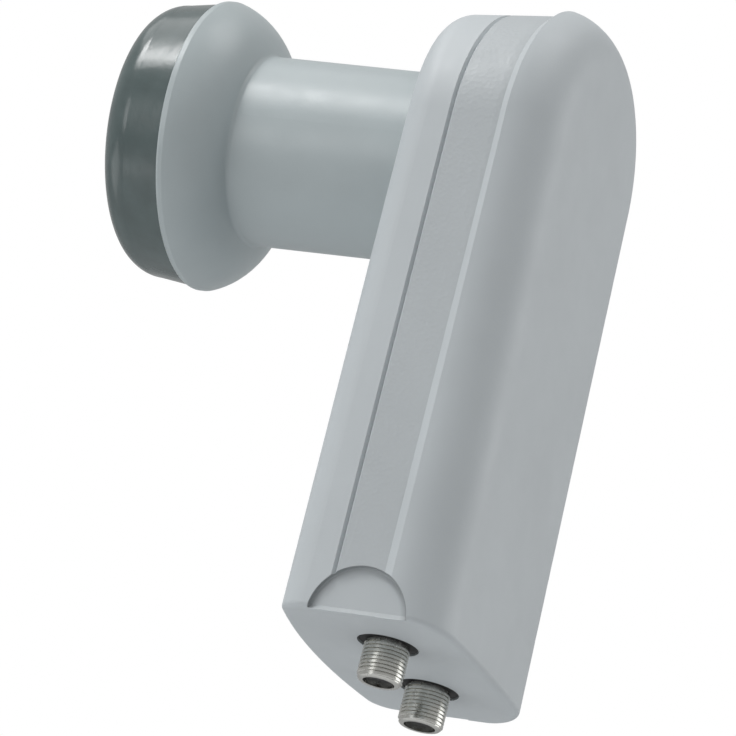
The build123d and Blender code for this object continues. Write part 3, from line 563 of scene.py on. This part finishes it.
class LNB_OT_case_screws(bpy.types.Operator):
    """Make the two screws that close the case, with cross recesses and threads"""

    bl_idname = "lnb.case_screws"
    bl_label = "Case Screws"

    def execute(self, context):
        sizes = context.scene.lnb_screws
        # Zinc plate is bright grey with a slight cloudiness.
        material = plain_finish("zinc_plated_steel", context.scene.lnb_colours.zinc, roughness=0.32,
                                patch=3 * MM, drift=0.06, bump_size=0.4 * MM, bump_height=0.006 * MM,
                                metallic=1.0)
        low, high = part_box("case_screws")
        reach = high.x - sizes.head
        z = (low.z + high.z) / 2
        screws = [self.screw(sizes, x, z, low.y, high.y) for x in (-reach, reach)]
        pair = merge("case_screw_pair", screws, material)
        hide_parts("case_screws")
        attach(pair, "root")
        dress(material, "horn_screws", "shield_screws")
        return {"FINISHED"}

    def screw(self, sizes, x, z, front, tip):
        """One screw along Y: it is made upright with its head on top, then laid down."""
        head = self.head(sizes)
        shaft_length = tip - front - sizes.head_height
        root = sizes.shaft - sizes.depth
        deselect()
        bpy.ops.mesh.primitive_cylinder_add(vertices=SHAFT_STEPS, radius=root, depth=shaft_length,
                                            location=(0, 0, -shaft_length / 2))
        shaft = active()
        settle(shaft)
        bpy.ops.object.mode_set(mode="EDIT")
        select_faces(lambda centre, normal: normal.z < UNDERSIDE)
        bpy.ops.transform.resize(value=(sizes.tip, sizes.tip, 1.0))
        bpy.ops.object.mode_set(mode="OBJECT")
        # The thread leaves the tip free and ends just below the head.
        turns = int(shaft_length / sizes.pitch) - 2
        coil = thread_coil(root, sizes.depth, sizes.pitch, turns, sizes.steps, sizes.crest)
        coil.location = (0, 0, -(turns + 0.6) * sizes.pitch)
        whole = merge("case_screw", [head, shaft, coil], None)
        laid = Matrix.Rotation(math.pi / 2, 4, "X")
        whole.matrix_world = Matrix.Translation((x, front + sizes.head_height, z)) @ laid
        settle(whole)
        return whole

    def head(self, sizes):
        """Round head with a softened rim and a cross recess."""
        deselect()
        bpy.ops.mesh.primitive_cylinder_add(vertices=HEAD_STEPS, radius=sizes.head, depth=sizes.head_height,
                                            location=(0, 0, sizes.head_height / 2))
        head = active()
        settle(head)
        bpy.ops.object.mode_set(mode="EDIT")
        select_edges(lambda a, b: min(a.z, b.z) > sizes.head_height * 0.99)
        bpy.ops.mesh.bevel(offset=sizes.head_bevel, segments=5)
        bpy.ops.object.mode_set(mode="OBJECT")
        for quarter in (0, math.pi / 2):
            deselect()
            bpy.ops.mesh.primitive_cube_add(size=1.0, location=(0, 0, sizes.head_height))
            arm = active()
            arm.scale = (2 * sizes.recess, sizes.recess_width, 2 * sizes.recess_depth)
            arm.rotation_euler.z = quarter
            settle(arm)
            bpy.ops.object.mode_set(mode="EDIT")
            select_faces(lambda centre, normal: normal.z < UNDERSIDE)
            bpy.ops.transform.resize(value=(sizes.recess_foot, sizes.recess_foot, 1.0))
            bpy.ops.object.mode_set(mode="OBJECT")
            apply_modifier(head, "BOOLEAN", operation="DIFFERENCE", object=arm, solver="EXACT")
            bpy.data.objects.remove(arm)
        return head


class LNB_OT_case(bpy.types.Operator):
    """Give both case shells their moulded finish"""

    bl_idname = "lnb.case"
    bl_label = "Case Shells"

    def execute(self, context):
        dress(case_finish(context.scene.lnb_colours, context.scene.lnb_case), "front_shell", "rear_shell")
        return {"FINISHED"}


class LNB_OT_horn(bpy.types.Operator):
    """Paint the horn and finish the feed cap"""

    bl_idname = "lnb.horn"
    bl_label = "Horn and Cap"

    def execute(self, context):
        colours = context.scene.lnb_colours
        dress(horn_finish(colours), "feed_horn")
        dress(cap_finish(colours), "feed_cap")
        return {"FINISHED"}


class LNB_OT_seals(bpy.types.Operator):
    """Finish the seals, the probes and their sleeves, and the outputs' washers, insulators and contacts"""

    bl_idname = "lnb.seals"
    bl_label = "Seals, Probes and Contacts"

    def execute(self, context):
        colours = context.scene.lnb_colours
        # Moulded rubber is dull and slightly dusty.
        rubber = plain_finish("moulded_black_rubber", colours.rubber, roughness=0.72, patch=3 * MM,
                              drift=0.12, bump_size=0.3 * MM, bump_height=0.01 * MM)
        dress(rubber, "cap_seal", "case_seal", "neck_seal")
        # Sintered fluoropolymer is waxy and lets a little light in.
        sleeve = plain_finish("sintered_white_fluoropolymer", colours.sleeve, roughness=0.42, patch=2 * MM,
                              drift=0.04, bump_size=0.5 * MM, bump_height=0.008 * MM,
                              IOR=1.38, Subsurface_Weight=0.15, Subsurface_Scale=0.5 * MM)
        dress(sleeve, "vertical_sleeve", "horizontal_sleeve")
        # Moulded resin is black and dull.
        resin = plain_finish("moulded_black_resin", colours.resin, roughness=0.5, patch=2 * MM, drift=0.08,
                             bump_size=0.4 * MM, bump_height=0.008 * MM)
        # Drawn brass is warm and bright, with fine marks from the die.
        brass = plain_finish("drawn_brass", colours.brass, roughness=0.28, patch=2 * MM, drift=0.08,
                             bump_size=0.25 * MM, bump_height=0.004 * MM, metallic=1.0)
        dress(brass, "vertical_probe", "horizontal_probe", "tuning_screws")
        for side in SIDES:
            dress(rubber, f"output_washer_{side}")
            dress(resin, f"output_insulator_{side}")
            dress(brass, f"output_contact_{side}")
        return {"FINISHED"}


class LNB_OT_inside(bpy.types.Operator):
    """Finish the castings and the parts on the circuit board"""

    bl_idname = "lnb.inside"
    bl_label = "Inside Pieces"

    def execute(self, context):
        colours = context.scene.lnb_colours
        # Bare die casting has a dull skin with flow marks.
        casting = plain_finish("bare_die_cast_aluminium", colours.casting, roughness=0.45, patch=9 * MM,
                               drift=0.07, bump_size=0.8 * MM, bump_height=0.02 * MM, metallic=1.0)
        dress(casting, "chassis", "shield_cover")
        # Glass-filled laminate shows faint flecks under its solder mask.
        laminate = plain_finish("low_loss_laminate", colours.laminate, roughness=0.5, patch=4 * MM,
                                drift=0.05, bump_size=0.5 * MM, bump_height=0.01 * MM)
        dress(laminate, "circuit_board")
        # Loaded elastomer is nearly black and dull.
        absorber = plain_finish("lossy_elastomer_sheet", colours.absorber, roughness=0.85, patch=2 * MM,
                                drift=0.15, bump_size=0.4 * MM, bump_height=0.03 * MM)
        dress(absorber, "absorber_pads")
        # Sintered ceramic is matt, with tiny pores.
        ceramic = plain_finish("sintered_ceramic", colours.ceramic, roughness=0.6, patch=1.5 * MM, drift=0.05,
                               bump_size=0.2 * MM, bump_height=0.01 * MM)
        dress(ceramic, "resonators")
        # Moulded epoxy is black and slightly glossy.
        epoxy = plain_finish("moulded_epoxy", colours.epoxy, roughness=0.45, patch=1.5 * MM, drift=0.12,
                             bump_size=0.15 * MM, bump_height=0.005 * MM)
        dress(epoxy, "amplifier_transistors", "converter_chips", "voltage_regulators")
        return {"FINISHED"}


# Each lamp: name, azimuth and elevation it shines from in degrees, distance and width in metres, watts.
LAMPS = (("key_lamp", 44, 48, 1.5, 0.5, 10.6),
         ("side_lamp", 64, 0, 1.5, 0.6, 3.0),
         ("front_lamp", 0, 60, 1.5, 0.8, 2.8),
         ("low_front_lamp", 20, -32, 1.1, 0.7, 1.9),
         ("top_lamp", 175, 66, 1.5, 0.8, 5.2),
         ("rear_lamp", 215, 14, 1.6, 1.0, 5.2))


class LNB_OT_stage(bpy.types.Operator):
    """Set up the floor, the soft lamps, the white surround and the camera"""

    bl_idname = "lnb.stage"
    bl_label = "Studio"

    def execute(self, context):
        scene = context.scene
        scene.view_settings.view_transform = "Standard"
        settings = scene.lnb_stage
        self.floor(settings)
        middle = (CAD_LOW + CAD_HIGH) / 2
        for lamp in LAMPS:
            self.lamp(middle, *lamp)
        self.surround(scene, settings)
        self.camera(scene, settings)
        return {"FINISHED"}

    def floor(self, settings):
        """Large plain floor that shows nearly white to the camera and keeps the object's shadow."""
        deselect()
        bpy.ops.mesh.primitive_plane_add(size=settings.floor_width, location=(0, 0, -settings.floor_drop))
        floor = active()
        floor.name = "floor"
        settle(floor)
        material, tree, place, shader = start_material("pale_studio_floor", settings.floor, roughness=0.9)
        mottle(tree, place, shader, settings.floor, size=400 * MM, amount=0.01)
        rays = add_node(tree, "ShaderNodeLightPath")
        share = add_node(tree, "ShaderNodeMath", {"operation": "MULTIPLY", 1: settings.floor_white},
                         {0: (rays, "Is Camera Ray")})
        white = add_node(tree, "ShaderNodeEmission", {"Strength": 1.0})
        blend = add_node(tree, "ShaderNodeMixShader",
                         links={"Fac": (share, "Value"), 1: (shader, "BSDF"), 2: (white, "Emission")})
        output = next(node for node in tree.nodes if node.bl_idname == "ShaderNodeOutputMaterial")
        tree.links.new(blend.outputs["Shader"], output.inputs["Surface"])
        floor.data.materials.append(material)

    def lamp(self, middle, name, azimuth, elevation, distance, width, watts):
        """Square soft lamp that shines on the object's middle."""
        deselect()
        turned = Matrix.Rotation(math.radians(azimuth), 3, "Z")
        turned = turned @ Matrix.Rotation(math.radians(90 - elevation), 3, "X")
        bpy.ops.object.light_add(type="AREA", location=middle + turned @ Vector((0, 0, distance)))
        lamp = active()
        lamp.name = name
        lamp.rotation_euler = turned.to_euler()
        lamp.data.shape = "SQUARE"
        lamp.data.size = width
        lamp.data.energy = watts

    def surround(self, scene, settings):
        """White to the camera, grey in reflections, and softer still as a light."""
        world = bpy.data.worlds.new("white_surround")
        scene.world = world
        world.use_nodes = True
        tree = world.node_tree
        tree.nodes.clear()
        rays = add_node(tree, "ShaderNodeLightPath")
        mirrored = add_node(tree, "ShaderNodeMath", {"operation": "MULTIPLY", 1: settings.mirrored},
                            {0: (rays, "Is Glossy Ray")})
        seen = add_node(tree, "ShaderNodeMath", {"operation": "MAXIMUM"},
                        {0: (rays, "Is Camera Ray"), 1: (mirrored, "Value")})
        level = add_node(tree, "ShaderNodeMath", {"operation": "MAXIMUM", 1: settings.fill},
                         {0: (seen, "Value")})
        white = add_node(tree, "ShaderNodeBackground", {"Color": (1, 1, 1, 1)},
                         {"Strength": (level, "Value")})
        add_node(tree, "ShaderNodeOutputWorld", links={"Surface": (white, "Background")})

    def camera(self, scene, settings):
        """Camera below and behind the object's side, looking up at it and rolled a little."""
        deselect()
        bpy.ops.object.camera_add(location=settings.eye)
        camera = active()
        camera.name = "photo_camera"
        turned = Matrix.Rotation(settings.azimuth, 3, "Z")
        turned = turned @ Matrix.Rotation(math.pi / 2 - settings.elevation, 3, "X")
        camera.rotation_euler = (turned @ Matrix.Rotation(settings.roll, 3, "Z")).to_euler()
        camera.data.lens = settings.lens
        camera.data.sensor_width = settings.sensor
        camera.data.clip_start = settings.nearest
        scene.camera = camera


PIECES = (LNB_OT_case, LNB_OT_horn, LNB_OT_outputs, LNB_OT_case_screws, LNB_OT_seals, LNB_OT_inside)
GROUPS = (("lnb_outputs", OutputSizes), ("lnb_screws", ScrewSizes), ("lnb_case", CaseSizes),
          ("lnb_colours", FinishColours), ("lnb_stage", StageSettings))


class LNB_PT_sidebar(bpy.types.Panel):
    """Sidebar panel with the pieces, the studio and their settings"""

    bl_idname = "LNB_PT_sidebar"
    bl_label = "Low-Noise Block"
    bl_space_type = "VIEW_3D"
    bl_region_type = "UI"
    bl_category = "LNB"

    def draw(self, context):
        for operator in (*PIECES, LNB_OT_stage):
            self.layout.operator(operator.bl_idname)
        for group, kind in GROUPS:
            box = self.layout.box()
            box.label(text=kind.__doc__)
            for name in kind.__annotations__:
                box.prop(getattr(context.scene, group), name)


CLASSES = (*[kind for _, kind in GROUPS], *PIECES, LNB_OT_stage, LNB_PT_sidebar)


def register():
    for kind in CLASSES:
        bpy.utils.register_class(kind)
    for group, kind in GROUPS:
        setattr(bpy.types.Scene, group, PointerProperty(type=kind))


def unregister():
    for group, _ in GROUPS:
        delattr(bpy.types.Scene, group)
    for kind in reversed(CLASSES):
        bpy.utils.unregister_class(kind)


def main():
    register()
    bpy.ops.lnb.case()
    bpy.ops.lnb.horn()
    bpy.ops.lnb.outputs()
    bpy.ops.lnb.case_screws()
    bpy.ops.lnb.seals()
    bpy.ops.lnb.inside()
    bpy.ops.lnb.stage()


if __name__ == "__main__":
    main()
